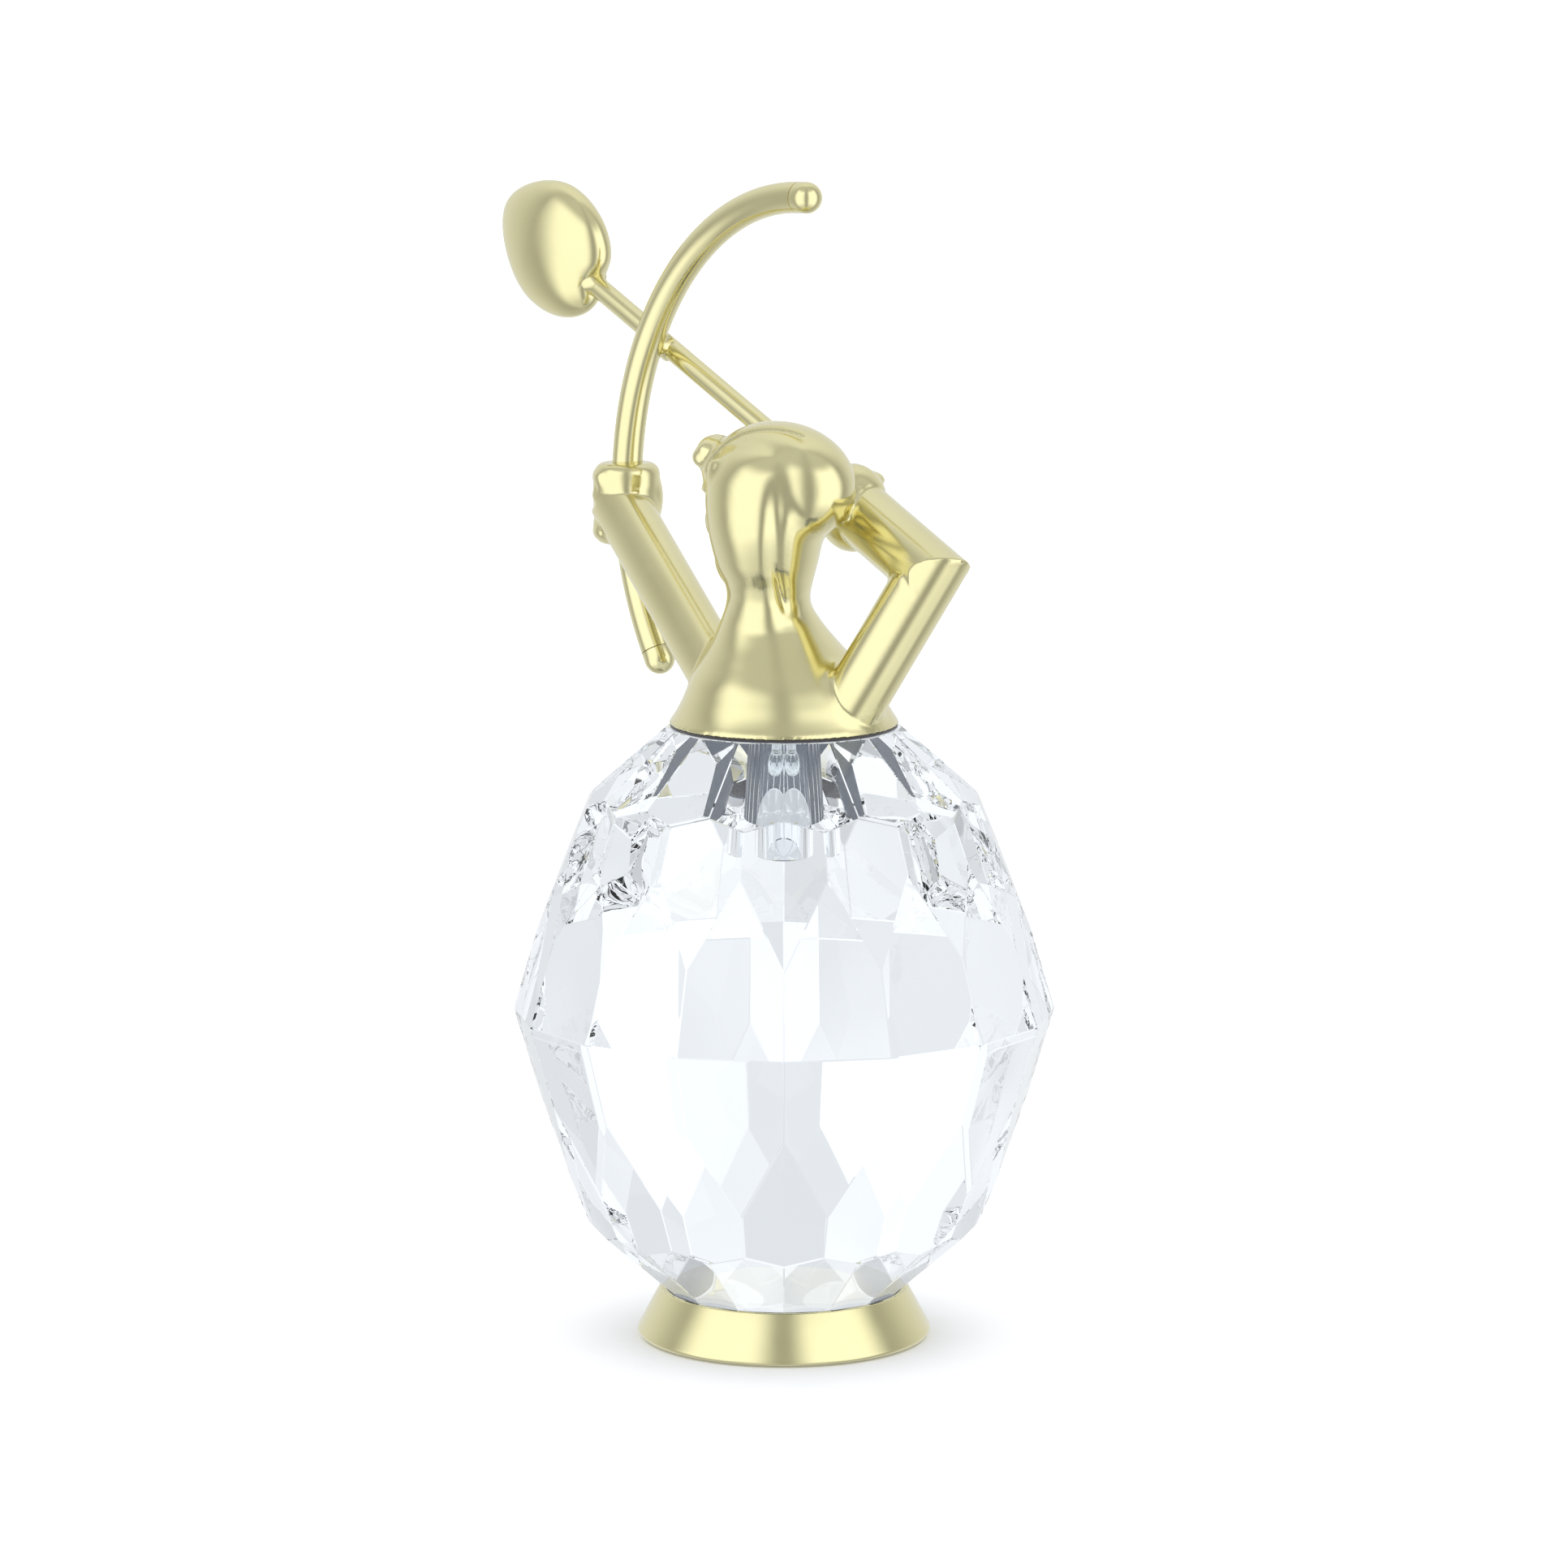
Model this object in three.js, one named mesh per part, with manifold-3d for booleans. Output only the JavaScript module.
// Cut-crystal perfume flacon with a gilt archer stopper.
// Millimetres, +Z up. The origin is the centre of the underside of the foot pad.
import * as THREE from "three";
import { ConvexGeometry } from "three/addons/geometries/ConvexGeometry.js";
import { mergeVertices } from "three/addons/utils/BufferGeometryUtils.js";
import Module from "manifold-3d";

const wasm = await Module();
wasm.setup();

// ---------------------------------------------------------------- driving dimensions
const GAP = 0.3; // clearance between pieces that touch

// Crystal body: a ball of three facet rows above and below a sixteen-sided girdle.
const FACETS = 16;
const GIRDLE_R = 30; // corner radius of the girdle
const CRYSTAL_LOW = 5.4; // lower table
const CRYSTAL_HALF = 31.6; // girdle to table
const BREAK_CUT = { lean: 16.4 }; // girdle row, lean from upright in degrees
const MAIN_CUT = { lean: 21.8, cornerR: 27.27 }; // middle row, starts at this corner radius
const CROWN_CUT = { lean: 48.5, cornerR: 21.1 }; // table row, starts at this corner radius
const WELL_R = 3.2;
const WELL_FLOOR = 52.5;
const CRYSTAL_TOP = CRYSTAL_LOW + 2 * CRYSTAL_HALF;
const GIRDLE_Z = CRYSTAL_LOW + CRYSTAL_HALF;

// Foot
const FOOT_TOP = 5.56;
const FOOT_BASE_R = 16.3;
const FOOT_TOP_R = 13.85;
const FOOT_EDGE = 0.5; // rounding of the lower edge
const SEAT_R = 13.25; // recess that holds the lower table
const PAD_R = 12.9;
const PAD_H = 0.9;
const PAD_PROUD = 0.25; // the pad stands this far below the metal

// Collar, plug, seals and dauber
const COLLAR_R = 7.2;
const COLLAR_H = 2.5;
const COLLAR_Z = CRYSTAL_TOP + GAP;
const PLUG_R = WELL_R - GAP;
const PLUG_LOW = 63.5;
const PLUG_FLANGE_R = 5;
const PLUG_FLANGE_H = 1.5;
const SEAL_SECTION = 1; // width and height of a seal ring's section
const SEAL_R = 3; // outer radius of a seal ring
const SEAL_LEVELS = { seal_ring_upper: 69.9, seal_ring_lower: 66 };
const SEAL_GROOVE_R = 2.1;
const DAUBER_R = 1;
const DAUBER_BALL_R = 1.6;
const DAUBER_TOP = 66.5;
const DAUBER_BALL_Z = 59;
const STUD_R = 1.4;
const STUD_LOW = 68;
const STUD_TOP = 78.7;

// Archer. In the archer's own frame +X is the aim, +Y the archer's left and +Z up.
const AIM_DEG = 130; // turn of the aim about Z
const SKIRT_Z = CRYSTAL_TOP + GAP;
const SKIRT_R = 12.65;
const SHOULDER_R = 9.8;
const SHOULDER_Z = 74.2;
const NECK_R = 4.5;
const NECK_AT = new THREE.Vector2(1.6, 0.9);
const NECK_CUT_Z = 82.6; // the head is soldered on here
const SKULL = { at: [0, 0.6, 95.5], semi: [10.2, 6.7, 6.8] };
const FACE = { at: [3.1, 0.7, 89.6], semi: [6.1, 5.2, 7.2] };
const HAIR = { at: [0.2, 2.1, 91], semi: [8.1, 5, 8.8] };
const BOW_ARM_R = 3.3;
const DRAW_ARM_R = 3.5;
const HAND_R = 3.75;
const HAND_H = 9.3;
const BOW_SHOULDER = new THREE.Vector3(7, 3.6, 73.8);
const BOW_WRIST = new THREE.Vector3(31.8, -3.2, 88.9);
const DRAW_SHOULDER = new THREE.Vector3(-9.2, -1.8, 71.6);
const ELBOW = new THREE.Vector3(-17.8, -5.7, 86.9);
const DRAW_WRIST = new THREE.Vector3(-4.7, -7.6, 91.7);
const DRAW_HAND = new THREE.Vector3(-2.6, -7.65, 92.2);

// Bow: an arc of an upright ellipse in a plane beside the archer
const BOW_PLANE_Y = -4.45;
const BOW_CENTRE = new THREE.Vector2(1.8, 91.3);
const BOW_REACH = 31.3; // half axis along the aim
const BOW_RISE = 35; // half axis upwards
const BOW_FROM_DEG = -30.4;
const BOW_TO_DEG = 88.5;
const BOW_GRIP_DEG = -2.3;
const BOW_LOWER_LEAN = 0.055; // slope by which the lower limb leans in
const BOW_R = 1.74;
const CAP_LENGTH = 1.1; // straight part of an end cap

// Arrow: parallel to the bow's plane and just clear of it
const ARROW_R = 1.2;
const ARROW_PLANE_Y = BOW_PLANE_Y - BOW_R - ARROW_R - GAP;
const ARROW_RISE_DEG = 24.8;
const ARROW_Z_AT_AXIS = 94.1;
const ARROW_FROM = -5; // along the aim
const HEART_AT = 50.5; // along the aim
const HEART_LENGTH = 19.5;
const HEART_WIDTH = 15.2;
const HEART_THICKNESS = 7.4;
const HEART_NOTCH = 0.2; // depth of the notch as a share of the half length
const HEART_LIFT = 0.5; // the heart sits this far above the shaft
const COLLAR_RING_R = 1.9;
const COLLAR_RING_LENGTH = 1.6;
const COLLAR_RING_SINK = 0.8; // the ring starts this far inside the heart's rear

// Faceting
const ROUND = 48; // sides of large turned pieces
const ROD = 20; // sides of rods
const rad = THREE.MathUtils.degToRad;

// ---------------------------------------------------------------- finishes
const finishes = {
  gilt: { color: 0xd8cf9c, roughness: 0.2, metalness: 1 },
  crystal: { color: 0xf2f5fa, roughness: 0.02, metalness: 0 },
  glass: { color: 0xeaf2f4, roughness: 0.05, metalness: 0 },
  polymer: { color: 0xe9e7df, roughness: 0.45, metalness: 0 },
  silicone: { color: 0xd6d8d8, roughness: 0.6, metalness: 0 },
  felt: { color: 0x2b2a2d, roughness: 0.95, metalness: 0 },
};

// ---------------------------------------------------------------- solid helpers

/** A merged, closed solid from a three.js geometry. */
function solid(geometry) {
  const bare = geometry.index ? geometry.clone() : geometry;
  bare.deleteAttribute("normal");
  bare.deleteAttribute("uv");
  const merged = mergeVertices(bare, 1e-4);
  const vertProperties = new Float32Array(merged.attributes.position.array);
  const triVerts = new Uint32Array(merged.index.array);
  return new wasm.Manifold(new wasm.Mesh({ numProp: 3, vertProperties, triVerts }));
}

/** A three.js geometry from a solid. */
function geometryOf(body) {
  const { vertProperties, triVerts } = body.getMesh();
  const geometry = new THREE.BufferGeometry();
  geometry.setAttribute("position", new THREE.BufferAttribute(vertProperties, 3));
  geometry.setIndex(new THREE.BufferAttribute(triVerts, 1));
  return geometry;
}

/** Join a list of solids. */
function join(...bodies) {
  return bodies.reduce((whole, body) => whole.add(body));
}

/** A body turned about Z from [radius, height] points that run anticlockwise. */
function turned(points, sides = ROUND) {
  const profile = points.map(([r, z]) => new THREE.Vector2(r, z));
  const onAxis = profile[0].x === 0;
  const outline = onAxis ? profile : [...profile, profile[0].clone()];
  return solid(new THREE.LatheGeometry(outline, sides).rotateX(Math.PI / 2));
}

/** Points of an arc for a turned profile, from one angle to another in degrees. */
function arc(cr, cz, radius, from, to, steps = 5) {
  const turn = (i) => rad(from + ((to - from) * i) / steps);
  const at = (i) => [Math.max(0, cr + radius * Math.cos(turn(i))), cz + radius * Math.sin(turn(i))];
  return Array.from({ length: steps + 1 }, (_, i) => at(i));
}

/** A round bar along Z. */
function bar(radius, low, high, sides = ROD) {
  return turned([[0, low], [radius, low], [radius, high], [0, high]], sides);
}

/** An ellipsoid with its centre and half axes. */
function ellipsoid({ at, semi }, grow = 0) {
  const ball = new THREE.SphereGeometry(1, 28, 18);
  ball.rotateX(Math.PI / 2);
  ball.scale(...semi.map((s) => s + grow));
  return solid(ball.translate(...at));
}

/** Move a solid that was made along Z, so that it runs from one point towards another. */
function aimed(body, from, towards) {
  const along = towards.clone().sub(from).normalize();
  const turn = new THREE.Quaternion().setFromUnitVectors(new THREE.Vector3(0, 0, 1), along);
  const place = new THREE.Matrix4().compose(from, turn, new THREE.Vector3(1, 1, 1));
  return body.transform(place.elements);
}

/** A straight rod between two points, longer at each end by the given amounts. */
function rod(radius, from, to, before = 0, after = 0) {
  return aimed(bar(radius, -before, from.distanceTo(to) + after, ROD), from, to);
}

/** The part of a solid on the side of a plane that its normal points to. */
function keepSide(body, point, normal) {
  const n = normal.clone().normalize();
  return body.trimByPlane(n.toArray(), n.dot(point));
}

const group = new THREE.Group();
const archer = new THREE.Group();
archer.rotation.z = rad(AIM_DEG);
group.add(archer);

/** Add a named piece to a group. */
function piece(name, body, finish, parent = group) {
  const mesh = new THREE.Mesh(geometryOf(body), new THREE.MeshStandardMaterial(finishes[finish]));
  mesh.name = name;
  parent.add(mesh);
}

// ---------------------------------------------------------------- foot

function footRing() {
  const rimZ = PAD_PROUD;
  const edge = arc(FOOT_BASE_R - FOOT_EDGE, rimZ + FOOT_EDGE, FOOT_EDGE, -90, 15);
  const lip = 0.15;
  return turned([
    [0, PAD_H + GAP],
    [PAD_R + GAP, PAD_H + GAP],
    [PAD_R + GAP, rimZ],
    ...edge,
    [FOOT_TOP_R, FOOT_TOP - lip],
    [FOOT_TOP_R - lip, FOOT_TOP],
    [SEAT_R, FOOT_TOP],
    [SEAT_R, CRYSTAL_LOW - GAP],
    [0, CRYSTAL_LOW - GAP],
  ], 64);
}

piece("foot_ring", footRing(), "gilt");
piece("foot_pad", bar(PAD_R, 0, PAD_H, ROUND), "felt");

// ---------------------------------------------------------------- crystal

/** Corner rings of one half, as [radius, height above the girdle, half-step phase]. */
function cutRings() {
  const half = Math.cos(Math.PI / FACETS); // flat radius over corner radius
  const fall = (cut) => Math.tan(rad(cut.lean));
  const [a, b, c] = [fall(BREAK_CUT), fall(MAIN_CUT), fall(CROWN_CUT)];
  // Each row is a plane at radius r0 - fall * z, measured square to its facets.
  const a0 = GIRDLE_R * half;
  const peakZ = (GIRDLE_R - MAIN_CUT.cornerR) * (half / a);
  const b0 = MAIN_CUT.cornerR + b * peakZ;
  const shoulderZ = (b0 - CROWN_CUT.cornerR) / b;
  const c0 = CROWN_CUT.cornerR * half + c * shoulderZ;
  const valleyZ = (b0 / half - a0) / (b / half - a);
  const crownZ = (c0 - b0 / half) / (c - b / half);
  return [
    [GIRDLE_R, 0, 0],
    [MAIN_CUT.cornerR, peakZ, 0],
    [a0 - a * valleyZ, valleyZ, 0.5],
    [c0 - c * crownZ, crownZ, 0.5],
    [CROWN_CUT.cornerR, shoulderZ, 0],
    [(c0 - c * CRYSTAL_HALF) / half, CRYSTAL_HALF, 0],
  ];
}

function crystalBody() {
  const step = (2 * Math.PI) / FACETS;
  const corners = cutRings().flatMap(([r, z, phase]) =>
    [-1, 1].flatMap((side) =>
      Array.from({ length: FACETS }, (_, k) => {
        const turn = (k + phase) * step;
        return new THREE.Vector3(r * Math.cos(turn), r * Math.sin(turn), GIRDLE_Z + side * z);
      })));
  const drillPoint = 0.8;
  const well = turned([
    [0, WELL_FLOOR - drillPoint],
    [WELL_R, WELL_FLOOR],
    [WELL_R, CRYSTAL_TOP + 1],
    [0, CRYSTAL_TOP + 1],
  ], 32);
  return solid(new ConvexGeometry(corners)).subtract(well);
}

piece("crystal_body", crystalBody(), "crystal");

// ---------------------------------------------------------------- neck and closure

function neckCollar() {
  const top = COLLAR_Z + COLLAR_H;
  const round = 0.6;
  return turned([
    [WELL_R, COLLAR_Z],
    [COLLAR_R, COLLAR_Z],
    ...arc(COLLAR_R - round, top - round, round, 0, 90, 3),
    [WELL_R, top],
  ]);
}

function stopperPlug() {
  const flangeZ = COLLAR_Z + COLLAR_H + GAP;
  const top = flangeZ + PLUG_FLANGE_H;
  const grooveHalf = SEAL_SECTION / 2 + GAP;
  const groove = (z) => [
    [PLUG_R, z - grooveHalf],
    [SEAL_GROOVE_R, z - grooveHalf],
    [SEAL_GROOVE_R, z + grooveHalf],
    [PLUG_R, z + grooveHalf],
  ];
  const lead = 0.5; // chamfer that leads the plug in
  const body = turned([
    [0, PLUG_LOW],
    [PLUG_R - lead, PLUG_LOW],
    [PLUG_R, PLUG_LOW + lead],
    ...groove(SEAL_LEVELS.seal_ring_lower),
    ...groove(SEAL_LEVELS.seal_ring_upper),
    [PLUG_R, flangeZ],
    [PLUG_FLANGE_R, flangeZ],
    [PLUG_FLANGE_R, top],
    [0, top],
  ], 32);
  const rodSocket = bar(DAUBER_R + GAP, PLUG_LOW - 1, DAUBER_TOP + GAP);
  const studSocket = bar(STUD_R + GAP, STUD_LOW - GAP, top + 1);
  return body.subtract(rodSocket).subtract(studSocket);
}

function sealRing(z) {
  const half = SEAL_SECTION / 2;
  const inner = SEAL_GROOVE_R + GAP;
  const middle = (inner + SEAL_R) / 2;
  return turned([[inner, z], [middle, z - half], [SEAL_R, z], [middle, z + half]], 32);
}

function dauber() {
  const join = Math.asin(DAUBER_R / DAUBER_BALL_R);
  const ball = arc(0, DAUBER_BALL_Z, DAUBER_BALL_R, -90, 90 - THREE.MathUtils.radToDeg(join), 10);
  ball[0] = [0, DAUBER_BALL_Z - DAUBER_BALL_R];
  return turned([...ball, [DAUBER_R, DAUBER_TOP], [0, DAUBER_TOP]], ROD);
}

piece("neck_collar", neckCollar(), "gilt");
piece("stopper_plug", stopperPlug(), "polymer");
for (const [name, z] of Object.entries(SEAL_LEVELS)) {
  piece(name, sealRing(z), "silicone");
}
piece("dauber_rod", dauber(), "glass");
piece("mounting_stud", bar(STUD_R, STUD_LOW, STUD_TOP), "gilt");

// ---------------------------------------------------------------- torso and head

/** The skirt and shoulders, larger all over by the given amount. */
function torsoForm(grow = 0) {
  const shoulderTop = 81.5;
  return turned([
    [0, SKIRT_Z - grow],
    [SKIRT_R + grow, SKIRT_Z - grow],
    [SKIRT_R - 0.85 + grow, SKIRT_Z + 1.6],
    [SKIRT_R - 1.75 + grow, SKIRT_Z + 3.4],
    [SHOULDER_R + grow, SHOULDER_Z],
    [SHOULDER_R - 1.5 + grow, SHOULDER_Z + 2],
    [SHOULDER_R - 3 + grow, SHOULDER_Z + 4],
    [NECK_R + 1 + grow, SHOULDER_Z + 6],
    [NECK_R + 0.3 + grow, shoulderTop + grow],
    [0, shoulderTop + grow],
  ]);
}

function torso() {
  const recessTop = COLLAR_Z + COLLAR_H + PLUG_FLANGE_H + 2 * GAP;
  const recess = bar(COLLAR_R + 0.8, SKIRT_Z - 1, recessTop, ROUND);
  const studHole = bar(STUD_R + GAP, recessTop - 1, STUD_TOP + GAP);
  const neck = bar(NECK_R, SHOULDER_Z + 4, NECK_CUT_Z - GAP, 28).translate(NECK_AT.x, NECK_AT.y, 0);
  const shape = join(torsoForm(), neck);
  return shape.subtract(recess).subtract(studHole);
}

/** Skull, face and the hair down to the neck, larger all over by the given amount. */
function headForm(grow = 0) {
  const nape = turned([
    [0, NECK_CUT_Z],
    [NECK_R + 0.1 + grow, NECK_CUT_Z],
    [NECK_R + 0.7 + grow, NECK_CUT_Z + 3],
    [0, NECK_CUT_Z + 8],
  ], 28).translate(NECK_AT.x, NECK_AT.y, 0);
  return join(ellipsoid(SKULL, grow), ellipsoid(FACE, grow), ellipsoid(HAIR, grow), nape);
}

function head() {
  return keepSide(headForm(), new THREE.Vector3(0, 0, NECK_CUT_Z), new THREE.Vector3(0, 0, 1));
}

piece("torso", torso(), "gilt", archer);
piece("head", head(), "gilt", archer);

// ---------------------------------------------------------------- bow

/** A point of the bow's centre line at an angle of its ellipse. */
function bowPoint(degrees) {
  const turn = rad(degrees);
  const lift = BOW_RISE * Math.sin(turn);
  const x = BOW_CENTRE.x + BOW_REACH * Math.cos(turn) + BOW_LOWER_LEAN * Math.min(0, lift);
  return new THREE.Vector3(x, BOW_PLANE_Y, BOW_CENTRE.y + lift);
}

/** The direction of the bow's centre line at an angle, towards the upper end. */
function bowDirection(degrees) {
  const step = 0.1;
  return bowPoint(degrees + step).sub(bowPoint(degrees - step)).normalize();
}

/** A curve along the bow's centre line. */
class BowLine extends THREE.Curve {
  constructor(from, to) {
    super();
    this.from = from;
    this.to = to;
  }

  getPoint(t) {
    return bowPoint(this.from + (this.to - this.from) * t);
  }
}

/** A round bar bent along the bow's centre line. */
function bowBar(radius, from, to, steps) {
  const section = new THREE.Shape();
  section.absarc(0, 0, radius, 0, 2 * Math.PI);
  const extrudePath = new BowLine(from, to);
  return solid(new THREE.ExtrudeGeometry(section, { steps, extrudePath, curveSegments: ROD / 2 }));
}

/** An end cap: a short cylinder with a round end. */
function bowCap(degrees, direction) {
  const cap = turned([
    [0, GAP],
    [BOW_R, GAP],
    ...arc(0, GAP + CAP_LENGTH, BOW_R, 0, 90, 5),
  ], ROD);
  const seat = bowPoint(degrees);
  return aimed(cap, seat, seat.clone().add(direction));
}

piece("bow", bowBar(BOW_R, BOW_FROM_DEG, BOW_TO_DEG, 36), "gilt", archer);
piece("bow_cap_upper", bowCap(BOW_TO_DEG, bowDirection(BOW_TO_DEG)), "gilt", archer);
piece("bow_cap_lower", bowCap(BOW_FROM_DEG, bowDirection(BOW_FROM_DEG).negate()), "gilt", archer);

// ---------------------------------------------------------------- arrow

const ARROW_SLOPE = Math.tan(rad(ARROW_RISE_DEG));

/** The point of the arrow's centre line at a distance along the aim. */
function arrowPoint(x) {
  return new THREE.Vector3(x, ARROW_PLANE_Y, ARROW_Z_AT_AXIS + x * ARROW_SLOPE);
}

const heartCentre = arrowPoint(HEART_AT);
const arrowWay = arrowPoint(1).sub(arrowPoint(0)).normalize();
const shaftEnd = heartCentre.clone().addScaledVector(arrowWay, -0.62 * (HEART_LENGTH / 2));

/**
 * A puffy heart, its tip along +Z, its lobes either side along X and its thickness along Y.
 * Each direction of a ball is stretched to the heart's outline, and the notch is at the rear.
 */
function heartForm() {
  const ball = new THREE.SphereGeometry(1, 32, 24);
  ball.deleteAttribute("normal");
  ball.deleteAttribute("uv");
  const merged = mergeVertices(ball, 1e-4);
  const points = merged.attributes.position;
  const p = new THREE.Vector3();
  for (let i = 0; i < points.count; i += 1) {
    p.fromBufferAttribute(points, i);
    const forward = Math.max(0, p.z);
    const rear = Math.max(0, -p.z);
    const taper = 1 - 0.28 * forward ** 1.5 + 0.06 * rear;
    const notch = HEART_NOTCH * rear ** 3 * Math.exp(-((p.x / 0.35) ** 2));
    p.x = HEART_LIFT + p.x * (HEART_WIDTH / 2) * taper;
    p.y *= (HEART_THICKNESS / 2) * taper;
    p.z = (HEART_LENGTH / 2) * (p.z + notch);
    points.setXYZ(i, p.x, p.y, p.z);
  }
  return solid(merged);
}

function arrowHead() {
  const upright = new THREE.Matrix4().makeBasis(
    new THREE.Vector3(-arrowWay.z, 0, arrowWay.x),
    new THREE.Vector3(0, -1, 0),
    arrowWay,
  ).setPosition(heartCentre);
  const shaftHole = rod(ARROW_R + GAP, arrowPoint(HEART_AT - 12), shaftEnd, 0, GAP);
  const back = collarRing().back.clone().addScaledVector(arrowWay, -GAP);
  const socket = rod(COLLAR_RING_R + GAP, back, back.clone().add(arrowWay), 3, COLLAR_RING_LENGTH);
  return heartForm().transform(upright.elements).subtract(shaftHole).subtract(socket);
}

/** The ring that is soldered round the shaft where it enters the heart. */
function collarRing() {
  const back = heartCentre.clone().addScaledVector(arrowWay, COLLAR_RING_SINK - HEART_LENGTH / 2);
  const inner = ARROW_R + GAP;
  const ring = turned([
    [inner, 0],
    [COLLAR_RING_R - 0.3, 0],
    [COLLAR_RING_R, 0.5],
    [COLLAR_RING_R, COLLAR_RING_LENGTH],
    [inner, COLLAR_RING_LENGTH],
  ], ROD);
  return { back, body: aimed(ring, back, back.clone().add(arrowWay)) };
}

piece("arrow_shaft", rod(ARROW_R, arrowPoint(ARROW_FROM), shaftEnd), "gilt", archer);
piece("arrow_collar", collarRing().body, "gilt", archer);
piece("arrow_heart", arrowHead(), "gilt", archer);

// ---------------------------------------------------------------- arms and hands

/** A closed hand: an upright rounded barrel. */
function handForm(at) {
  const round = 1.6;
  const high = HAND_H / 2;
  const barrel = turned([
    [0, -high],
    ...arc(HAND_R - round, round - high, round, -90, 0, 4),
    ...arc(HAND_R - round, high - round, round, 0, 90, 4),
    [0, high],
  ], 24);
  return barrel.translate(...at.toArray());
}

const bowHandAt = bowPoint(BOW_GRIP_DEG);
const torsoClear = torsoForm(GAP);
const headClear = headForm(GAP);

function bowArm() {
  const arm = rod(BOW_ARM_R, BOW_SHOULDER, BOW_WRIST);
  const handClear = bar(HAND_R + GAP, -HAND_H, HAND_H, 24).translate(...bowHandAt.toArray());
  return arm.subtract(torsoClear).subtract(handClear);
}

function bowHand() {
  const bore = bowBar(BOW_R + GAP, BOW_GRIP_DEG - 12, BOW_GRIP_DEG + 12, 8);
  return handForm(bowHandAt).subtract(bore);
}

/** Two rods that meet in a mitre at the elbow. */
function drawingArm() {
  const upperWay = ELBOW.clone().sub(DRAW_SHOULDER).normalize();
  const foreWay = DRAW_WRIST.clone().sub(ELBOW).normalize();
  const mitre = upperWay.clone().add(foreWay).normalize();
  const reach = 8; // past the elbow, trimmed by the mitre
  const halfGap = mitre.clone().multiplyScalar(GAP / 2);
  const upper = rod(DRAW_ARM_R, DRAW_SHOULDER, ELBOW, 0, reach);
  const fore = rod(DRAW_ARM_R, ELBOW, DRAW_WRIST, reach, 0);
  const handClear = bar(HAND_R + GAP, -HAND_H, HAND_H, 24).translate(...DRAW_HAND.toArray());
  const hem = new THREE.Vector3(0, 0, SKIRT_Z + 0.4);
  const upperArm = keepSide(upper, ELBOW.clone().sub(halfGap), mitre.clone().negate());
  return {
    upperArm: keepSide(upperArm, hem, new THREE.Vector3(0, 0, 1)).subtract(torsoClear),
    forearm: keepSide(fore, ELBOW.clone().add(halfGap), mitre).subtract(handClear).subtract(headClear),
  };
}

function drawingHand() {
  const bore = rod(ARROW_R + GAP, arrowPoint(ARROW_FROM), shaftEnd, GAP, 0);
  return handForm(DRAW_HAND).subtract(bore).subtract(headClear);
}

const { upperArm, forearm } = drawingArm();
piece("bow_arm", bowArm(), "gilt", archer);
piece("bow_hand", bowHand(), "gilt", archer);
piece("drawing_upper_arm", upperArm, "gilt", archer);
piece("drawing_forearm", forearm, "gilt", archer);
piece("drawing_hand", drawingHand(), "gilt", archer);

export default group;
